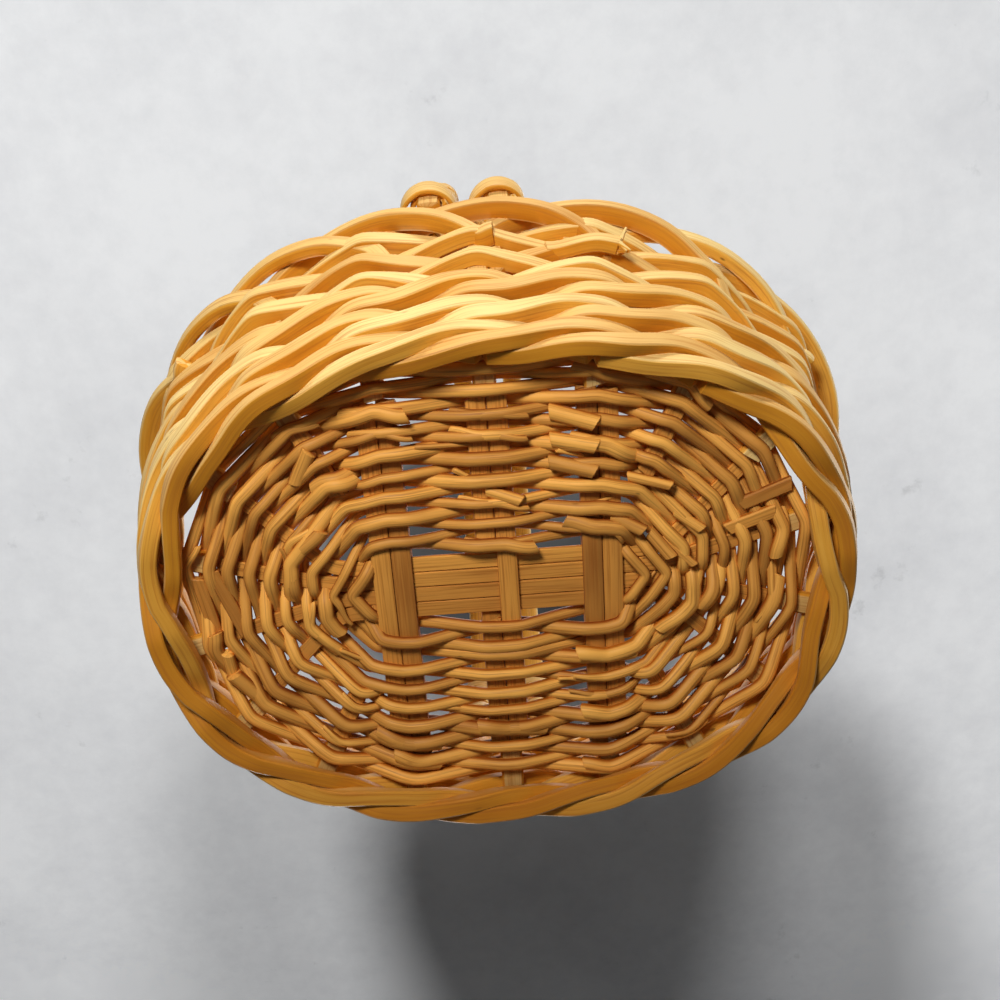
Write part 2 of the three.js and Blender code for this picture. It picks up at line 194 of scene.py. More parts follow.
def finishPiece(name, rods, material, nodes, sharpness=32):
    bpy.ops.object.select_all(action="DESELECT")
    for rod in rods:
        rod.select_set(True)
    bpy.context.view_layer.objects.active = rods[0]
    if len(rods) > 1:
        bpy.ops.object.join()
    piece = bpy.context.active_object
    piece.name = name
    piece.data.name = name
    bpy.ops.object.mode_set(mode="EDIT")
    bpy.ops.mesh.select_all(action="SELECT")
    bpy.ops.mesh.remove_doubles(threshold=1e-6)
    bpy.ops.mesh.normals_make_consistent(inside=False)
    bpy.ops.object.mode_set(mode="OBJECT")
    bpy.ops.object.shade_smooth_by_angle(angle=math.radians(sharpness))
    piece.data.materials.clear()
    piece.data.materials.append(material)
    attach(piece, "root")
    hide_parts(*nodes)
    return piece


# shader maths: a wrapped socket with the usual operators
class Sock:
    def __init__(self, tree, socket):
        self.tree, self.socket = tree, socket

    def node(self, kind, settings=None, inputs=None, out=0):
        made = self.tree.nodes.new(kind)
        for key, value in (settings or {}).items():
            if key == "stops":
                ramp = made.color_ramp
                while len(ramp.elements) < len(value):
                    ramp.elements.new(0.5)
                for element, (place, colour) in zip(ramp.elements, value):
                    element.position, element.color = place, colour
            else:
                setattr(made, key, value)
        for key, value in (inputs or {}).items():
            if isinstance(value, Sock):
                self.tree.links.new(value.socket, made.inputs[key])
            else:
                made.inputs[key].default_value = value
        return Sock(self.tree, made.outputs[out] if made.outputs else None)

    def math(self, operation, a, b=0.0):
        return self.node("ShaderNodeMath", {"operation": operation}, {0: a, 1: b})

    def __add__(self, other):
        return self.math("ADD", self, other)

    def __sub__(self, other):
        return self.math("SUBTRACT", self, other)

    def __rsub__(self, other):
        return self.math("SUBTRACT", other, self)

    def __mul__(self, other):
        return self.math("MULTIPLY", self, other)

    def __pow__(self, other):
        return self.math("POWER", self, other)

    def remap(self, low, high, first=0.0, last=1.0, kind="LINEAR"):
        return self.node("ShaderNodeMapRange", {"clamp": True, "interpolation_type": kind},
                         {"Value": self, 1: low, 2: high, 3: first, 4: last})

    def noise(self, scale, detail, roughness):
        return self.node("ShaderNodeTexNoise", None,
                         {"Vector": self, "Scale": scale, "Detail": detail, "Roughness": roughness})

    def axes(self, *names):
        parts = self.node("ShaderNodeSeparateXYZ", None, {0: self}).socket.node
        return [Sock(self.tree, parts.outputs[name]) for name in names]

    def mix(self, first, second):
        return self.node("ShaderNodeMix", {"data_type": "RGBA"}, {0: self, 6: first, 7: second}, out=2)


def srgb(r, g, b):
    def linear(c):
        c /= 255
        return c / 12.92 if c <= 0.04045 else ((c + 0.055) / 1.055) ** 2.4
    return (linear(r), linear(g), linear(b), 1.0)


def newMaterial(name):
    material = bpy.data.materials.new(name)
    material.use_nodes = True
    tree = material.node_tree
    tree.nodes.clear()
    return material, Sock(tree, None)


# varnished peeled willow: long grain, fibres, a few specks and a thin varnish; paler faces partly painted as
# highlight, painted shade on the flanks and near the ground
def willowMaterial(name, look):
    material, s = newMaterial(name)
    uv = s.node("ShaderNodeUVMap", {"uv_map": "grain"})
    tone = s.node("ShaderNodeAttribute", {"attribute_name": "tone"}, out=2)

    def stretched(across, along):
        return s.node("ShaderNodeMapping", None, {"Vector": uv, "Scale": (across, along, 1)})

    streak = stretched(420, 14).noise(1.0, 4.0, 0.6)
    fibre = stretched(1000, 20).noise(1.0, 3.0, 0.6)
    patch = stretched(60, 25).noise(1.0, 2.0, 0.5)
    speck = s.node("ShaderNodeTexVoronoi", None, {"Vector": stretched(190, 70), "Scale": 1.0})
    speckMask = speck.remap(0.05, 0.13, 1.0, 0.0) * patch.remap(0.58, 0.66)
    blend = streak * 0.7 + patch * 0.35 + tone * 0.6 - 0.32
    ramp = s.node("ShaderNodeValToRGB", {"stops": look["stops"]}, {"Fac": blend})
    # paler faces: partly the smoother outer skin, partly a painted highlight; the flanks keep the darker ramp colour
    # as painted shade between rods
    skin = s.node("ShaderNodeAttribute", {"attribute_name": "skin"}, out=2)
    skin = skin.remap(look["skinAndHighlightFrom"], look["skinAndHighlightTo"], kind="SMOOTHSTEP")
    paleVariation = tone * 0.5 + patch * 0.6 + 0.2  # how pale the faces and their painted highlight come out varies at random from rod to rod
    paler = (skin * paleVariation * look["skinAndHighlightShare"]).mix(ramp, look["skin"])
    fibred = fibre.remap(0.34, 0.52, 0.62, 0.0).mix(paler, look["fibre"])
    spotted = (speckMask * 0.8).mix(fibred, look["speck"])
    # painted shade: darker near the ground, most towards the back of the basket
    depth, lift = s.node("ShaderNodeTexCoord", out=3).axes("Y", "Z")
    paintedShade = lift.remap(0.0, look["paintedShadeTo"], 1.0, 0.0) * depth.remap(-0.03, 0.1, 0.25, 1.0)
    shaded = s.node("ShaderNodeMix", {"data_type": "RGBA", "blend_type": "MULTIPLY"},
                    {0: paintedShade, 6: spotted, 7: look["paintedShade"]}, out=2)
    height = streak * 0.6 + fibre * 0.4
    bump = s.node("ShaderNodeBump", None, {"Strength": 0.35, "Distance": 0.0006, "Height": height})
    rough = fibre * 0.2 + look["rough"]
    shader = s.node("ShaderNodeBsdfPrincipled", None, {
        "Base Color": shaded, "Roughness": rough, "Normal": bump,
        "Coat Weight": look["coat"], "Coat Roughness": 0.4, "Specular IOR Level": 0.16})
    s.node("ShaderNodeOutputMaterial", None, {"Surface": shader})
    return material


wallLook = {
    "stops": [(0.1, srgb(196, 124, 28)), (0.45, srgb(217, 150, 43)), (0.8, srgb(231, 172, 68))],
    "skin": srgb(240, 211, 141), "skinAndHighlightShare": 0.92, "skinAndHighlightFrom": 0.38, "skinAndHighlightTo": 0.5,
    "fibre": srgb(186, 116, 40), "speck": srgb(96, 52, 22), "rough": 0.5, "coat": 0.05,
    # tint and reach of the painted shade near the ground
    "paintedShade": srgb(228, 216, 212), "paintedShadeTo": 0.04,
}
baseLook = {
    "stops": [(0.1, srgb(106, 38, 2)), (0.45, srgb(145, 63, 5)), (0.8, srgb(188, 100, 17))],
    "skin": srgb(248, 182, 86), "skinAndHighlightShare": 1.05, "skinAndHighlightFrom": 0.0, "skinAndHighlightTo": 0.4,
    "fibre": srgb(144, 82, 26), "speck": srgb(84, 44, 18), "rough": 0.46, "coat": 0.06,
    "paintedShade": srgb(255, 255, 255), "paintedShadeTo": 0.01,
}
wallWillow = willowMaterial("wallWillow", wallLook)
baseWillow = willowMaterial("baseWillow", baseLook)
stickWillow = willowMaterial("stickWillow", {**baseLook, "skinAndHighlightShare": 0.72})  # split faces: less of the paler skin and painted highlight
print("willow mixed")

# wall: three low rounds of three rods, each in front of two stakes and behind one, with five plain rods on top
wale = {
    "low": {"width": (7.4, 7.8, 7.6), "thickness": (6.4, 6.8, 7.0), "offset": (3.4, 4.6, 5.0),
            "endSpread": (3.2, 2.0, 0.0), "soft": (4.9, 2.4, 2.4), "levelSoft": 3.2,
            "from": 4.6, "step": 8.3, "roll": 0.16, "frontLift": 3.0, "margin": 0.02, "ground": 0.4},
    "top": {"width": 6.8, "thickness": 6.6, "offset": 6.0, "levels": (53.0, 61.0, 69.0, 77.5, 85.0),
            "dip": 1.0, "soft": 0.8, "roll": 0.25, "margin": 0.04, "kink": 0.03},
    "waves": {"width": 170, "thickness": 140, "offset": 75, "roll": 90},  # how long the wander is
    "behind": 0.3, "near": 0.125, "turn": 0.15, "samples": 24, "slant": 0.3,
    "inside": 0.8,  # how much of the paler skin and painted highlight the inner faces get
}
broken = {"from": 0.62, "to": 1.22, "height": 70.0, "drop": 3.0, "width": 6.6, "thickness": 5.6,
          "proud": (3.0, 7.0), "fibres": 9, "fibreLength": (3, 6.5), "fibreWidth": (2.4, 0.8), "fibreDepth": 1.3}


# how far along, which side of the stakes and which level, at each bend of a wale rod
def waleBends(rod):
    near, far = wale["near"], wale["near"] + wale["turn"]
    strokes = [
        [(near, -1, wale["behind"]), (far, -1, 0), (1 - far, 0, 0), (1 - near, 1, 0)],
        [(near, 1, 0), (far, 1, 0), (1 - far, 1, 1), (1 - near, 1, 1)],
        [(near, 1, 1), (far, 0, 1), (1 - far, -1, 1), (1 - near, -1, wale["behind"])],
    ]
    margin = wale["low"]["margin"]
    bends = [(rod + margin, -1, wale["behind"])]
    for interval in range(wall["stakes"]):
        bends += [(rod + interval + share, side, level) for share, side, level in strokes[interval % 3]]
    bends.append((rod + wall["stakes"] - margin, -1, wale["behind"]))
    return np.array(bends)


# a plain rod goes in front of one stake and behind the next, with a kink at each
def plainBends(rod):
    margin, kink = wale["top"]["margin"], wale["top"]["kink"]
    bends = [(rod + margin, -1, 0)]
    for stakeNo in range(1, wall["stakes"]):
        side = 1 if stakeNo % 2 else -1
        bends += [(rod + stakeNo - kink, side, 0), (rod + stakeNo + kink, side, 0)]
    bends.append((rod + wall["stakes"] - margin, -1, 0))
    return np.array(bends)


bandShape = shavedShape(0.08, 0.09, 0.05)
splitShape = shavedShape(0.06, 0.08, 0.04)


def layLowRod(turn, rod):
    look, waves = wale["low"], wale["waves"]
    bends = waleBends(rod)
    place = np.linspace(bends[0, 0], bends[-1, 0], wall["stakes"] * wale["samples"] + 1)
    run = place * stakePitch
    side = blur(np.interp(place, bends[:, 0], bends[:, 1]), look["soft"][turn])
    level = blur(np.interp(place, bends[:, 0], bends[:, 2]), look["levelSoft"])
    height = look["from"] + (2 * turn + level) * look["step"] + 0.7 * wander(run, 120)
    if turn == 0:
        height = height + look["frontLift"] * np.clip(np.cos(2 * math.pi * place / wall["stakes"]), 0, 1)
    width = look["width"][turn] * (1 + 0.08 * wander(run, waves["width"]))
    thickness = look["thickness"][turn] * (1 + 0.07 * wander(run, waves["thickness"]))
    _, out, up = wallFrame(place, height)
    apart = look["offset"][turn] + look["endSpread"][turn] * out[:, 0] ** 2 * (side < 0)
    apart = side * apart + 0.4 * wander(run, waves["offset"])
    low = 0.52 * width * up[:, 2] - (apart + 0.55 * thickness) * out[:, 2] + look["ground"]
    height = np.maximum(height, blur(low, 4))  # nothing reaches below the ground
    point, out, up = wallFrame(place, height)
    point = point + out * apart[:, None]
    roll = look["roll"] * wander(run, waves["roll"])[:, None]
    return rollRod(point, unit(out + up * roll), width, thickness, bandShape, wale["slant"], wale["inside"])


def layTopRod(rod):
    look, waves = wale["top"], wale["waves"]
    bends = plainBends(rod)
    place = np.linspace(bends[0, 0], bends[-1, 0], wall["stakes"] * wale["samples"] + 1)
    run = place * stakePitch
    side = blur(np.interp(place, bends[:, 0], bends[:, 1]), look["soft"])
    height = look["levels"][rod] + look["dip"] * side + 1.2 * wander(run, 110)
    width = look["width"] * (1 + 0.10 * wander(run, waves["width"]))
    thickness = look["thickness"] * (1 + 0.08 * wander(run, waves["thickness"]))
    point, out, up = wallFrame(place, height)
    point = point + out * (side * look["offset"] + 0.5 * wander(run, waves["offset"]))[:, None]
    roll = look["roll"] * wander(run, waves["roll"])[:, None]
    return rollRod(point, unit(out + up * roll), width, thickness, splitShape, wale["slant"], wale["inside"])


# a rod of the top band that snapped, with fibres at its end
def layBroken():
    share = np.linspace(0, 1, 16)
    place = broken["from"] + (broken["to"] - broken["from"]) * share
    point, out, up = wallFrame(place, broken["height"] - broken["drop"] * share)
    point = point + out * (broken["proud"][0] + broken["proud"][1] * step(0, 0.8, share))[:, None]
    rods = [rollRod(point, out, broken["width"], broken["thickness"], splitShape, 0.2)]
    onward = unit(point[-1] - point[-2])
    fibreWidth = np.linspace(*broken["fibreWidth"], 6)
    for _ in range(broken["fibres"]):
        way = unit(onward + 0.7 * rng.normal(size=3)) * rng.uniform(*broken["fibreLength"])
        root = point[-1] + up[-1] * rng.uniform(-2.4, 2.4) + out[-1] * rng.uniform(-2, 2)
        route = root + way * np.linspace(-0.2, 1, 6)[:, None]
        rods.append(rollRod(route, out[-1], fibreWidth, broken["fibreDepth"], splitShape))
    return rods


lowRods = {"foot_1": [(0, 0), (1, 0)], "foot_2": [(0, 1), (1, 1)], "foot_3": [(0, 2), (1, 2)],
           "middle_1": [(2, 0)], "middle_2": [(2, 1)], "middle_3": [(2, 2)]}
for label, rods in lowRods.items():
    finishPiece("waleRod_" + label, [layLowRod(*rod) for rod in rods], wallWillow, ["wale_" + label])
for rod in range(3):
    label = "upper_%d" % (rod + 1)
    rods = [layTopRod(rod)] + ([layTopRod(rod + 2)] if rod else layBroken())
    finishPiece("waleRod_" + label, rods, wallWillow, ["wale_" + label])
print("wale laid")

# base: split sticks and slats, woven with single rods
base = {
    "slats": 4, "slatWidth": 6.3, "slatThickness": 2.4, "slatGap": 0.3, "fanStart": 66.0,
    "crossWidth": 7.7, "crossThickness": 5.4, "crossDepth": 4.0, "pairGap": 0.4,
    "cornerWidth": 7.6, "cornerThickness": 5.0,
    "stakeWidth": 8.0, "stakeThickness": 4.0,
    "rounds": 17, "innerRounds": 7, "stakeRounds": 3, "endReach": 60.0,
    "centreGap": 5.1, "sideGap": 14.2, "endGap": 12.2,  # from the slats and the wall to a rod's middle
}
weave = {
    "rodLength": 240.0, "girth": 5.6, "butt": 6.3, "tip": 4.1, "loose": 0.9, "drift": 0.6, "pieces": 12,
    "sample": 1.4, "soft": 1.3, "bite": 0.2, "slant": 0.4,
    "startPast": (2, 8), "endPast": (2, 9),  # how far the ends pass their spokes
    "tipShare": 0.55, "tipRun": 16, "endRun": 13, "aside": (1.6, 3.0), "sink": 0.3, "standOff": (0.8, 3.0),
}
bundleHalf = (base["slats"] * (base["slatWidth"] + base["slatGap"]) - base["slatGap"]) / 2
baseHalves = halfSizes(wall["baseLevel"])
outerReach, outerRadius = baseHalves[0] - base["endGap"], baseHalves[1] - base["sideGap"]
innerRadius = bundleHalf + base["centreGap"]


def baseRound(index):
    share = index / (base["rounds"] - 1)
    radius = innerRadius + (outerRadius - innerRadius) * share
    reach = base["endReach"] + (outerReach - base["endReach"]) * share
    return radius, reach - radius, 4 * (reach - radius) + 2 * math.pi * radius


# place and outward direction on a round, by the length run from the front middle
def roundPoint(index, distance):
    radius, straight, length = baseRound(index)
    d = np.mod(distance + straight, length)
    mirror = np.where(d >= length / 2, -1.0, 1.0)
    run = np.mod(d, length / 2)
    angle = np.clip((run - 2 * straight) / radius, 0, None) - math.pi / 2
    flat = run < 2 * straight
    x = np.where(flat, run - straight, straight + radius * np.cos(angle))
    y = np.where(flat, -radius, radius * np.sin(angle))
    outX, outY = np.where(flat, 0, np.cos(angle)), np.where(flat, -1, np.sin(angle))
    return mirror * x, mirror * y, mirror * outX, mirror * outY


def roundDistance(index, point):
    radius, straight, length = baseRound(index)
    x, y = point
    if abs(x) <= straight:
        return (x if y < 0 else length / 2 - x) % length
    mirror = 1 if x > 0 else -1
    angle = math.atan2(mirror * y, abs(x) - straight) + math.pi / 2
    return straight + radius * angle + (length / 2 if mirror < 0 else 0)


half = wall["stakes"] // 2
cornerPlaces = [2, half - 2, half + 2, wall["stakes"] - 2]


def spokeKind(place):
    fromMiddle = min(place % half, half - place % half)
    return "cross" if fromMiddle < 2 else "corner" if place in cornerPlaces else "slat"


def spokeLine(place):
    end = wallFrame(float(place), wall["baseLevel"])[0][:2]
    kind = spokeKind(place)
    if kind == "cross":
        return np.array([end[0], 0.0]), end
    sign = 1.0 if end[0] > 0 else -1.0
    if kind == "corner":
        return np.array([sign * baseRound(base["innerRounds"])[1], 0.0]), end
    order = place % half - 3
    y = ((order + 0.5) * (base["slatWidth"] + base["slatGap"]) - bundleHalf - base["slatGap"] / 2) * sign
    return np.array([sign * base["fanStart"], y]), end


def crossing(line, index):
    radius, straight, _ = baseRound(index)
    def reach(p):
        return math.hypot(max(abs(p[0]) - straight, 0), p[1])
    start, end = line
    inside, outside = (start, end) if reach(start) < radius else (np.array([0.0, start[1]]), start)
    for _ in range(40):
        middle = (inside + outside) / 2
        inside, outside = (middle, outside) if reach(middle) < radius else (inside, middle)
    return inside


spokeSizes = {"cross": (2 * base["crossWidth"] + base["pairGap"], base["crossDepth"]),
              "corner": (base["cornerWidth"], base["cornerThickness"]),
              "slat": (base["slatWidth"], base["slatThickness"]),
              "stake": (base["stakeWidth"], base["stakeThickness"])}


# stretches of a round that lie over or under a spoke: inner rounds take the slats together
def spokesOfRound(index):
    outer = index >= base["rounds"] - base["stakeRounds"]
    spokes = []
    for place in range(wall["stakes"]):
        kind = "stake" if outer else spokeKind(place)
        middle = roundDistance(index, crossing(spokeLine(place), index))
        width, depth = spokeSizes[kind]
        spokes.append([kind, middle - width / 2, middle + width / 2, depth])
    if index >= base["innerRounds"]:
        return spokes
    spokes = [spoke for spoke in spokes if spoke[0] != "corner"]
    groupSize = 4 if index < 3 else 2
    grouped, taken = [], 0
    for spoke in spokes:
        if spoke[0] == "slat" and taken % groupSize:
            grouped[-1][2] = spoke[2]
        else:
            grouped.append(list(spoke))
        taken = taken + 1 if spoke[0] == "slat" else 0
    return grouped


# plan of a round: straight from spoke to spoke, as stiff rods lie
def roundPlan(index, distance):
    spokes = spokesOfRound(index)
    _, _, length = baseRound(index)
    middles = [(spoke[1] + spoke[2]) / 2 for spoke in spokes]
    if index < base["innerRounds"]:
        middles += [roundDistance(index, crossing(spokeLine(place), index)) for place in cornerPlaces]
    middles = np.array(middles)
    order = np.argsort(np.mod(middles, length))
    middles = np.mod(middles, length)[order]
    knots = np.concatenate([middles - length, middles, middles + length, middles + 2 * length])
    kx, ky, _, _ = roundPoint(index, knots)
    fine = np.arange(-0.9 * length, 1.9 * length, 1.0)
    x, y = (np.interp(distance, fine, blur(np.interp(fine, knots, k), weave["soft"])) for k in (kx, ky))
    _, _, outX, outY = roundPoint(index, distance)
    return x, y, outX, outY


# the level of a round along its run, over one spoke and under the next
def roundLevels(index):
    spokes = spokesOfRound(index)
    _, _, length = baseRound(index)
    count = len(spokes)
    stops, levels = [], []
    for k in range(-count, 2 * count):
        kind, a, b, depth = spokes[k % count]
        shift = length * math.floor(k / count)
        sign = -1 if (k + index) % 2 == 0 else 1
        stops += [a + shift, b + shift]
        levels += [sign * (depth / 2 + weave["girth"] / 2 - weave["bite"])] * 2
    run = np.arange(-0.6 * length, 1.6 * length, weave["sample"])
    return run, blur(np.interp(run, stops, levels), weave["soft"])


def layWeaver(index):
    spokes = spokesOfRound(index)
    _, _, length = baseRound(index)
    run, level = roundLevels(index)
    count = len(spokes)
    under = [k for k in range(count) if (k + index) % 2 == 0]  # spokes that this round crosses below
    lengths = max(1, int(round(length / weave["rodLength"])))
    first = int(rng.integers(len(under)))
    joints = [under[(first + j * len(under) // lengths) % len(under)] for j in range(lengths)]
    joints.sort()
    drift = weave["drift"] * rng.uniform(-1, 1)
    wave = [wander(run, length / n) for n in (2, 5)]
    loose = 0.7 * wave[0] + 0.3 * wave[1]
    rods = []
    for j, joint in enumerate(joints):
        nextJoint = joints[(j + 1) % lengths]
        begin = spokes[joint][1] - rng.uniform(*weave["startPast"])
        finish = spokes[nextJoint][2] + rng.uniform(*weave["endPast"])
        if j == lengths - 1:
            finish += length
        at = np.arange(begin, finish, weave["sample"])
        x, y, outX, outY = roundPlan(index, at)
        share = (at - begin) / (finish - begin)
        thick, slim = weave["butt"] * rng.uniform(0.92, 1.08), weave["tip"] * rng.uniform(0.85, 1.2)
        ends = (thick, slim) if (j + index) % 2 else (slim, thick)
        girth = ends[0] + (ends[1] - ends[0]) * share
        girth = girth * (1 + 0.05 * wander(at, 60))
        tipEnd = at[-1] - at if ends[1] < ends[0] else at - at[0]
        girth = girth * (weave["tipShare"] + (1 - weave["tipShare"]) * step(0, weave["tipRun"], tipEnd))
        z = np.interp(at, run, level)
        shift = weave["loose"] * np.interp(at, run, loose) + drift
        startBy, endBy = (1 - step(0, weave["endRun"], away) for away in (at - at[0], at[-1] - at))
        shift = shift + rng.uniform(*weave["aside"]) * (startBy - endBy)
        # the new end lies close and the old one stands off
        z = z * (1 - weave["sink"] * startBy) - rng.uniform(*weave["standOff"]) * endBy
        points = np.stack([x + outX * shift, y + outY * shift, wall["baseLevel"] + z], axis=1)
        rods.append(rollRod(points, zUp, girth, girth, weaverShape, weave["slant"]))
    return rods


# a short straight bit: its cut end first, then where it goes in between the rods
def layBit(start, end, width, thickness, shape, slant=0.3):
    return rollRod(np.linspace(start, end, 9), zUp, width, thickness, shape, slant)


cutEnds = [(69, -38, 53, -42, 4.2), (58, -20, 46, -26, 5.4), (69, -8, 61, -18, 5.4), (81, -19, 71, -26, 4.6),
           (78, -4, 66, -15, 3.6), (-68, -62, -75, -49, 6.6), (-111, 31, -100, 47, 6.6), (-112, 21, -112, 33, 5.2),
           (11, -36, -2, -40, 5.2), (41, -56, 24, -59, 6.4), (40, -46, 23, -50, 6.4), (41, -65, 24, -70, 6.8)]
strays = [(-28, -60, -5, -59, 2.2), (-14, -50, -1, -41, 2.4), (26, -55, 37, -51, 2.2), (51, -46, 41, -47, 2.2),
          (36, -32, 50, -34, 1.6), (54, 10, 63, 0, 1.5), (-66, 24, -52, 34, 2.0), (-40, 52, -20, 57, 2.2),
          (22, 44, 40, 47, 1.8), (-84, -22, -80, -6, 2.0)]
bits = {"cutDrop": 6.0, "strayDrop": 4.6, "tuck": 3.2, "strayGirth": 3.0}
weaverShape = roundShape(12)
for piece in range(weave["pieces"]):
    rods = []
    for index in range(base["rounds"]):
        if index * weave["pieces"] // base["rounds"] == piece:
            rods += layWeaver(index)
    for x0, y0, x1, y1, girth in (cutEnds + strays)[piece::weave["pieces"]]:
        z = wall["baseLevel"] - bits["cutDrop" if girth > bits["strayGirth"] else "strayDrop"]
        rods.append(layBit((x0, y0, z), (x1, y1, z + bits["tuck"]), girth, girth, weaverShape))
    label = "weaver_%02d" % (piece + 1)
    finishPiece(label, rods, baseWillow, ["base_" + label])
print("base woven")

flatShape = shavedShape(0.06, 0.2, 0.03)
roundedFlat = shavedShape(0.11, 0.2)


def straightRoute(stops, count):
    stops = np.asarray(stops, float)
    run = runOf(stops)
    at = np.linspace(0, run[-1], count)
    return np.stack([np.interp(at, run, stops[:, i]) for i in range(3)], axis=1)


level = wall["baseLevel"]
outerIndex = base["rounds"] - base["stakeRounds"] - 0.5
for order in range(base["slats"]):
    right, left = spokeLine(3 + order), spokeLine(wall["stakes"] - 3 - order)
    stops = [crossing(left, outerIndex), left[0], right[0], crossing(right, outerIndex)]
    route = blurRoute(straightRoute([(p[0], p[1], level) for p in stops], 90), 2)
    slat = rollRod(route, zUp, base["slatWidth"], base["slatThickness"], flatShape, 0.2)
    label = "slat_%d" % (order + 1)
    finishPiece(label, [slat], stickWillow, ["base_" + label])

for label, place in (("left", wall["stakes"] - 1), ("middle", 0), ("right", 1)):
    for number, sideways in ((1, -1), (2, 1)):
        line = spokeLine(place)
        x = line[1][0] + sideways * (base["crossWidth"] + base["pairGap"]) / 2
        edge = np.array([x + sideways * base["crossWidth"] / 2, 0.0])
        reach = -crossing((edge, np.array([edge[0], line[1][1]])), outerIndex)[1]
        halves = []
        for sign in (-1, 1):
            y = np.linspace(-reach, reach, 70)
            open_ = 1 - step(bundleHalf + 1, bundleHalf + 16, np.abs(y))
            z = level + sign * (base["crossThickness"] / 4 + open_ * base["slatThickness"] / 2)
            route = np.stack([x + 0 * y, y, z], axis=1)
            cut = label == "middle" and number == 1 and sign < 0  # this half is cut away over the slats
            for part in (route[:28], route[-28:]) if cut else (route,):
                halves.append(rollRod(part, sign * zUp, base["crossWidth"], base["crossThickness"] / 2, roundedFlat,
                                      0.4 if cut else 0.15))
        which = "%s_%d" % (label, number)
        finishPiece("crossStick_" + which, halves, stickWillow, ["cross_stick_" + which])

# loose splits lie on two of the corner sticks
looseSplits = {0: ((116, -35, 97, -27), (110, -24, 92, -17)), 3: ((-119, -12, -115, 20), (-113, -15, -104, 14))}
split = {"width": 5.4, "thickness": 3.4, "drop": 4.2, "tuck": 1.8}
for order, place in enumerate(cornerPlaces):
    line = spokeLine(place)
    ends = [crossing(line, base["innerRounds"] - 0.5), crossing(line, outerIndex)]
    route = straightRoute([(p[0], p[1], level) for p in ends], 24)
    rods = [rollRod(route, zUp, base["cornerWidth"], base["cornerThickness"], roundedFlat, 0.3)]
    z = level - split["drop"]
    for x0, y0, x1, y1 in looseSplits.get(order, ()):
        rods.append(layBit((x0, y0, z), (x1, y1, z + split["tuck"]), split["width"], split["thickness"], roundedFlat))
    finishPiece("cornerStick_%d" % (order + 1), rods, stickWillow, ["corner_stick_%d" % (order + 1)])
print("sticks placed")

# stakes: out of the base, up the wall and over the next two stakes as a border loop
stake = {"width": 8.8, "thickness": 5.4, "lyingWidth": 6.2, "lyingThickness": 8.2,
         "lying": (0, 2, 5, 8, 11, 13, 16, 17),  # loops that lie on their sides
         "span": 2.1, "skew": 0.34, "archTurn": 176, "proud": 8.2, "settle": 0.55, "rise": 5.0, "bend": 7.0,
         "gap": 0.4, "tailRun": 0.14, "tailDrop": 10.0, "tailOut": 0.5,
         "shownDrop": -1.0, "shownOut": 7.0}  # for tails cut off outside the top band
liner = {"beside": ((0.17,), (-0.15, 0.15), ()), "from": 58, "to": (85, 93), "width": 6.4, "thickness": 3.4,
         "lean": 2.5, "leanFrom": 70, "leanTo": 92}


def layStake(place):
    line = spokeLine(place)
    inner = crossing(line, outerIndex)
    outwards = unit(line[1] - inner)
    foot = wallFrame(float(place), level)[0]
    bendStart = foot - np.append(outwards * stake["bend"], 0)
    bendEnd, bendOut, _ = wallFrame(float(place), level + stake["bend"])
    t = np.linspace(0, 1, 7)[:, None]
    curve = (1 - t) ** 2 * bendStart + 2 * t * (1 - t) * foot + t ** 2 * bendEnd
    start = np.append(inner + outwards * stake["gap"], level)
    runIn = start + (bendStart - start) * np.linspace(0, 1, 8)[:-1, None]
    archBase = wall["waleTop"] + stake["gap"]
    rise = np.linspace(level + stake["bend"], archBase, 9)[1:-1]
    wallUp, wallOut, _ = wallFrame(place + 0 * rise, rise)
    apex = wall["height"] + stake["rise"] - stake["width"] / 2 + rng.uniform(-1.5, 2.0)
    turn = np.radians(np.linspace(0, stake["archTurn"], 34))
    passed = (stake["span"] + 0.08 * rng.uniform(-1, 1)) / 2 * (1 - np.cos(turn))
    hump = np.sin(turn) * (1 + stake["skew"] * np.cos(turn))
    hump = hump / hump.max()
    arch, archOut, _ = wallFrame(place + passed, archBase + (apex - archBase) * hump)
    proud = stake["proud"] * step(0.25, 1.35, passed) * (1 - stake["settle"] * step(1.6, 2.1, passed))
    arch = arch + archOut * proud[:, None]
    tailShare = np.linspace(0, 1, 7)[1:]
    tailPlace = place + passed[-1] + stake["tailRun"] * tailShare
    kind = "shown" if place % 3 == 1 else "tail"  # the other tails are tucked behind the top band
    tailHeight = arch[-1, 2] - (arch[-1, 2] - wall["waleTop"] + stake[kind + "Drop"]) * tailShare
    tail, tailOut, _ = wallFrame(tailPlace, tailHeight)
    tail = tail + tailOut * (proud[-1] + (stake[kind + "Out"] - proud[-1]) * step(0, 0.7, tailShare))[:, None]
    points = np.concatenate([runIn, curve, wallUp, arch, tail])
    below = np.repeat(-zUp[None], len(runIn), axis=0)
    turning = unit(-zUp * (1 - t) + bendOut * t)
    towards = np.concatenate([below, turning, wallOut, archOut, tailOut])
    points = blurRoute(points, 1.2)
    towards = unit(blurRoute(towards, 1.5))
    run = np.linspace(0, 1, len(points))
    lies = step(0.3, 0.5, run) * (place in stake["lying"])
    width = stake["width"] + (stake["lyingWidth"] - stake["width"]) * lies
    thickness = stake["thickness"] + (stake["lyingThickness"] - stake["thickness"]) * lies
    return rollRod(points, towards, width * (1 + 0.04 * wander(run, 0.5)), thickness, roundedFlat, 0.2)


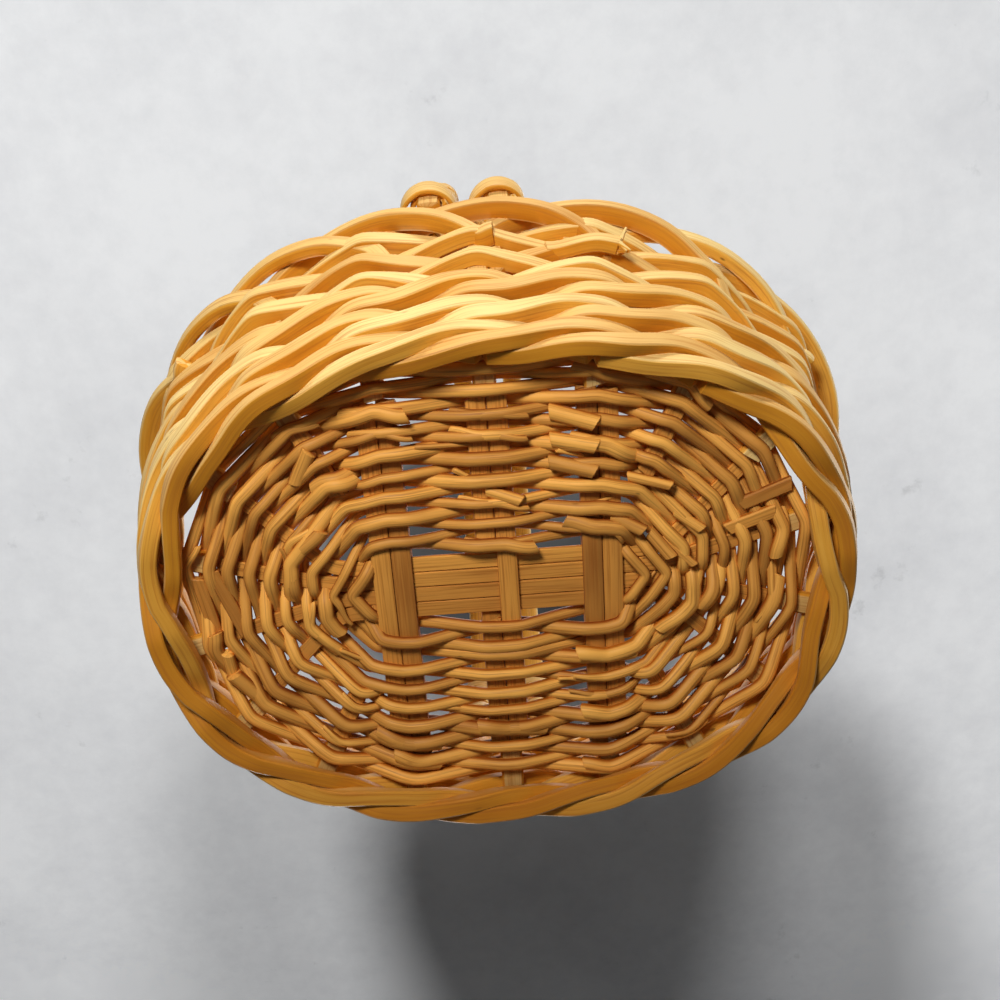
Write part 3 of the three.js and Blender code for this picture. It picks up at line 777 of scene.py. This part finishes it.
for place in range(wall["stakes"]):
    name = "stake_%02d" % (place + 1)
    rods = [layStake(place)]
    for beside in liner["beside"][place % 3]:  # short liners, cut above the top band
        rise = np.linspace(liner["from"], rng.uniform(*liner["to"]), 12)
        point, out, _ = wallFrame(place + beside + 0.02 * wander(rise, 40), rise)
        point = point + out * step(liner["leanFrom"], liner["leanTo"], rise)[:, None] * liner["lean"]
        rods.append(rollRod(point, out, liner["width"], liner["thickness"], roundedFlat, 0.5))
    finishPiece("stakeRod_%02d" % (place + 1), rods, wallWillow, [name])
print("stakes up")

# handle: two hoops up the inside of the wall, with a ribbon wound round each foot
hoop = {"diameter": 12.0, "spread": 14.0, "top": 300.0, "foot": 34.0, "shoulder": 165.0, "shoulderHalf": 140.0,
        "inset": 13.2, "archDegrees": (0, 20, 40, 65, 90)}
ribbon = {
    "thickness": 2.3, "from": 106.0,
    "core": {"from": 22, "to": 42, "width": 10.5, "thickness": 7.0, "loose": 8.8, "aside": -4.5},
    "curls": (
        {"from": 0, "turns": 2.2, "pitch": 11.5, "start": 0.0, "radius": 7.4, "closing": 0.0,
         "loose": 0.0, "aside": 0.0, "width": 11},
        {"from": 29, "turns": 1.3, "pitch": 6, "start": 2.2, "radius": 12.8, "closing": 0.8,
         "loose": 2.6, "aside": -5.0, "width": 12},
        {"from": 30, "turns": 1.4, "pitch": 5, "start": 0.8, "radius": 8.6, "closing": 0.3,
         "loose": 4.6, "aside": -4.0, "width": 11},
        {"from": 46, "turns": 2.2, "pitch": 12, "start": 0.0, "radius": 7.4, "closing": 0.0,
         "loose": 0.0, "aside": 0.0, "width": 11}),
}


def catmull(stops, perSpan):
    stops = np.asarray(stops, float)
    padded = np.concatenate([[2 * stops[0] - stops[1]], stops, [2 * stops[-1] - stops[-2]]])
    route = []
    for p0, p1, p2, p3 in zip(padded, padded[1:], padded[2:], padded[3:]):
        t = [0.0]
        for a, b in ((p0, p1), (p1, p2), (p2, p3)):
            t.append(t[-1] + max(np.linalg.norm(b - a), 1e-6) ** 0.5)
        for u in np.linspace(t[1], t[2], perSpan, endpoint=False):
            a1 = (t[1] - u) / (t[1] - t[0]) * p0 + (u - t[0]) / (t[1] - t[0]) * p1
            a2 = (t[2] - u) / (t[2] - t[1]) * p1 + (u - t[1]) / (t[2] - t[1]) * p2
            a3 = (t[3] - u) / (t[3] - t[2]) * p2 + (u - t[2]) / (t[3] - t[2]) * p3
            b1 = (t[2] - u) / (t[2] - t[0]) * a1 + (u - t[0]) / (t[2] - t[0]) * a2
            b2 = (t[3] - u) / (t[3] - t[1]) * a2 + (u - t[1]) / (t[3] - t[1]) * a3
            route.append((t[2] - u) / (t[2] - t[1]) * b1 + (u - t[1]) / (t[2] - t[1]) * b2)
    return np.array(route + [stops[-1]])


xAxis = np.array([1.0, 0.0, 0.0])


# middle of a hoop and the way out from it, by the length run along the hoop
def hoopFrame(curve, at):
    run = runOf(curve)
    centre = np.stack([np.interp(at, run, curve[:, i]) for i in range(3)], axis=1)
    return centre, unit(np.cross(xAxis, unit(np.gradient(centre, axis=0))))


for label, sideways in (("left", -1), ("right", 1)):
    heights = np.array([hoop["foot"], (hoop["foot"] + wall["height"]) / 2, wall["height"]])
    point, out, _ = wallFrame(sideways * hoop["spread"] / stakePitch + 0 * heights, heights)
    stops = list(point - out * hoop["inset"])
    archRise = hoop["top"] - hoop["diameter"] / 2 - hoop["shoulder"]
    for degrees in hoop["archDegrees"]:
        angle = math.radians(degrees)
        stops.append(np.array([stops[2][0], -hoop["shoulderHalf"] * math.cos(angle),
                               hoop["shoulder"] + archRise * math.sin(angle)]))
    stops += [p * np.array([1, -1, 1]) for p in stops[-2::-1]]
    curve = catmull(stops, 12)
    rod = rollRod(curve, xAxis, hoop["diameter"], hoop["diameter"], roundShape(18))
    finishPiece("hoop_%s" % label, [rod], wallWillow, ["handle_hoop_%s" % label])
    begin = runOf(curve)[np.argmax(curve[:, 2] > ribbon["from"])]
    for end, mirror in (("front", 1.0), ("back", -1.0)):
        flip = np.array([1.0, mirror, 1.0])
        layers = []
        for curl in ribbon["curls"]:
            turns = np.linspace(0, curl["turns"], 121)
            centre, outward = hoopFrame(curve, begin + curl["from"] + turns * curl["pitch"])
            angle = (2 * math.pi * turns + curl["start"])[:, None]
            face = outward * np.cos(angle) + xAxis * np.sin(angle)
            radius = curl["radius"] - curl["closing"] * turns[:, None]
            points = centre + outward * curl["loose"] + xAxis * curl["aside"] + face * radius
            layers.append(rollRod(points * flip, face * flip, curl["width"], ribbon["thickness"], flatShape, 0.1))
        core = ribbon["core"]
        centre, outward = hoopFrame(curve, begin + np.linspace(core["from"], core["to"], 8))
        points = centre + outward * core["loose"] + xAxis * core["aside"]
        layers.append(rollRod(points * flip, outward * flip, core["width"], core["thickness"], roundedFlat, 0.1))
        node = "handle_wrap_%s_%s" % (label, end)
        finishPiece("ribbon_%s_%s" % (label, end), layers, wallWillow, [node])
print("handle bent")

# stage: a pale floor seen from above, and a pale plaster sheet behind the basket seen from below
stageLook = {
    "floor": {
        "paint": srgb(226, 227, 228), "stain": srgb(226, 227, 228), "matte": 0.45, "glow": 0.57,
        "fade": (0.35, 1.1), "corner": 2.0, "slope": 0.0, "bowl": (0.0, 0.0),
        "shade": {"reach": (1.0, 1.0), "depth": 0.0},
    },
    "sheet": {
        "paint": srgb(190, 191, 192), "stain": srgb(176, 177, 179), "matte": 1.0, "glow": 0.005,
        "fade": (0.76, 0.95), "corner": 8.0, "slope": 0.83, "bowl": (0.95, 0.62),
        "shade": {"reach": (0.28, 0.2), "depth": 0.86},  # painted shadow behind the base, seen through the gaps in the weave
    },
}
sheetPlace = (0, 0.306, 0.75)


# plaster paint that fades out at its edges and is clear from behind
def stageMaterial(name, look):
    material, s = newMaterial(name)
    coords = s.node("ShaderNodeTexCoord", out=3)
    sideways, lengthways = coords.axes("X", "Y")

    def reachOf(x, y, power):
        return (s.math("ABSOLUTE", x) ** power + s.math("ABSOLUTE", y) ** power) ** (1 / power)

    cloud = coords.noise(3.5, 6.0, 0.6)
    stains = (cloud * 0.7 + coords.noise(38.0, 4.0, 0.7) * 0.3).remap(0.42, 0.68)
    pits = (coords.noise(26.0, 5.0, 0.65) * 0.6 + cloud * 0.4).remap(0.6, 0.68, 1.0, 0.8)
    # the slope and the bowl are painted light that makes up for the lamps' falloff
    dish = sideways * sideways * look["bowl"][0] + lengthways * lengthways * look["bowl"][1]
    level = (1.0 - lengthways * look["slope"] + dish) * pits
    # painted shadow behind the base, where the basket's shadow on the sheet begins
    across, along = look["shade"]["reach"]
    behindBase = reachOf(sideways * (1 / across), lengthways * (1 / along), 2.0)
    level = level * (1.0 - behindBase.remap(0.7, 1.15, look["shade"]["depth"], 0.0))
    paint = s.node("ShaderNodeVectorMath", {"operation": "SCALE"},
                   {0: stains.mix(look["paint"], look["stain"]), "Scale": level})
    dimmed = s.node("ShaderNodeVectorMath", {"operation": "SCALE"}, {0: paint, "Scale": look["matte"]})
    matte = s.node("ShaderNodeBsdfDiffuse", None, {"Color": dimmed})
    glow = s.node("ShaderNodeEmission", None, {"Color": paint, "Strength": look["glow"]})
    lit = s.node("ShaderNodeAddShader", None, {0: matte, 1: glow})
    behind = s.node("ShaderNodeNewGeometry", out=6)
    fade = reachOf(sideways, lengthways, look["corner"]).remap(*look["fade"], kind="SMOOTHSTEP")
    both = s.node("ShaderNodeMixShader", None,
                  {0: s.math("MAXIMUM", behind, fade), 1: lit, 2: s.node("ShaderNodeBsdfTransparent")})
    s.node("ShaderNodeOutputMaterial", None, {"Surface": both})
    return material


bpy.ops.object.select_all(action="DESELECT")
bpy.ops.mesh.primitive_plane_add(size=3.2, location=(0, 0, 0))
floor = bpy.context.active_object
floor.name = "floor"
floor.data.materials.append(stageMaterial("floorPaint", stageLook["floor"]))
bpy.ops.mesh.primitive_plane_add(size=2.4, location=sheetPlace, rotation=(math.pi, 0, 0))
sheet = bpy.context.active_object
sheet.name = "plasterSheet"
sheet.data.materials.append(stageMaterial("plaster", stageLook["sheet"]))
for plane in (floor, sheet):
    plane.visible_shadow = False
    plane.visible_diffuse = False
    plane.visible_glossy = False
print("stage set")


# lamps: the key, fill and back lamps light only the basket, and the last two only the sheet
warm, white = (1.0, 0.97, 0.92), (1.0, 1.0, 1.0)
onlySheet, allButStage = (bpy.data.collections.new(name) for name in ("onlySheet", "allButStage"))
onlySheet.objects.link(sheet)
for plane in (floor, sheet):
    allButStage.objects.link(plane)
for member in allButStage.collection_objects:
    member.light_linking.link_state = "EXCLUDE"
behindBasket = (0, 0.35, 0.75)
lamps = {
    "keyLamp": ((0.12, -1.35, 0.4), (0, -0.05, 0.05), 0.35, 12.0, warm, allButStage),
    "fillLamp": ((-0.12, -0.42, -0.34), (0, 0, 0.05), 0.14, 2.65, warm, allButStage),
    "topLamp": ((0.25, 0.1, 1.6), (0, 0, 0.05), 1.0, 9.0, white, None),
    "sideGlow": ((1.3, 0.15, 0.7), (0, 0, 0.08), 0.6, 9.0, white, None),
    "backLamp": ((-0.5, 1.4, 0.6), (0, 0, 0.08), 0.6, 17.0, warm, allButStage),
    "sheetLamp": ((-0.13, -0.62, -0.42), behindBasket, 0.11, 22.5, white, onlySheet),
    "sideLamp": ((0.06, -0.5, -0.37), behindBasket, 0.11, 10.2, white, onlySheet),
}
for name, (place, target, size, power, colour, receivers) in lamps.items():
    bpy.ops.object.light_add(type="AREA", location=place)
    lamp = bpy.context.active_object
    lamp.name = name
    lamp.data.shape = "DISK"
    lamp.data.size = size
    lamp.data.energy = power
    lamp.data.color = colour
    lamp.visible_camera = False
    lamp.rotation_euler = (Vector(target) - Vector(place)).to_track_quat("-Z", "Y").to_euler()
    if receivers:
        lamp.light_linking.receiver_collection = receivers
print("lamps hung")

world = bpy.data.worlds.new("pale")
bpy.context.scene.world = world
world.use_nodes = True
tree = world.node_tree
tree.nodes.clear()
w = Sock(tree, None)
rays = w.node("ShaderNodeLightPath").socket.node.outputs
direct, glossy, through = (Sock(tree, rays["Is %s Ray" % kind]) for kind in ("Camera", "Glossy", "Transmission"))
seen = w.math("MAXIMUM", w.math("MAXIMUM", direct, glossy), through)
light = w.node("ShaderNodeBackground", None, {"Color": (0.95, 0.97, 1.0, 1), "Strength": 0.05})
pale = w.node("ShaderNodeBackground", None, {"Color": srgb(222, 223, 225), "Strength": 1.0})
both = w.node("ShaderNodeMixShader", None, {0: seen, 1: light, 2: pale})
w.node("ShaderNodeOutputWorld", None, {"Surface": both})

# camera: from below the front, looking up at the underside, with the middle of the base at a point of the picture
view = {"tilt": 20.0, "roll": 4.0, "lens": 36.0, "sensor": 36.0, "away": 0.402, "aim": (0.0, 0.0, 0.0183),
        "picture": 1000, "pixel": (499, 584)}
tilt, roll = math.radians(view["tilt"]), math.radians(view["roll"])
forward = Vector((0, math.sin(tilt), math.cos(tilt)))
upward = Vector((0, -math.cos(tilt), math.sin(tilt)))
upRolled = upward * math.cos(roll) + forward.cross(upward) * math.sin(roll)
rightRolled = forward.cross(upRolled)
aside = Vector((view["pixel"][0] / view["picture"] - 0.5, 0.5 - view["pixel"][1] / view["picture"])) * view["away"]
eye = Vector(view["aim"]) - forward * view["away"] - rightRolled * aside[0] - upRolled * aside[1]
bpy.ops.object.camera_add(location=eye)
camera = bpy.context.active_object
camera.data.lens = view["lens"]
camera.data.sensor_width = view["sensor"]
camera.data.clip_start = 0.01
matrix = camera.matrix_world.copy()
for row in range(3):
    matrix[row][0], matrix[row][1], matrix[row][2] = rightRolled[row], upRolled[row], -forward[row]
camera.matrix_world = matrix
bpy.context.scene.camera = camera
bpy.context.scene.view_settings.view_transform = "Standard"
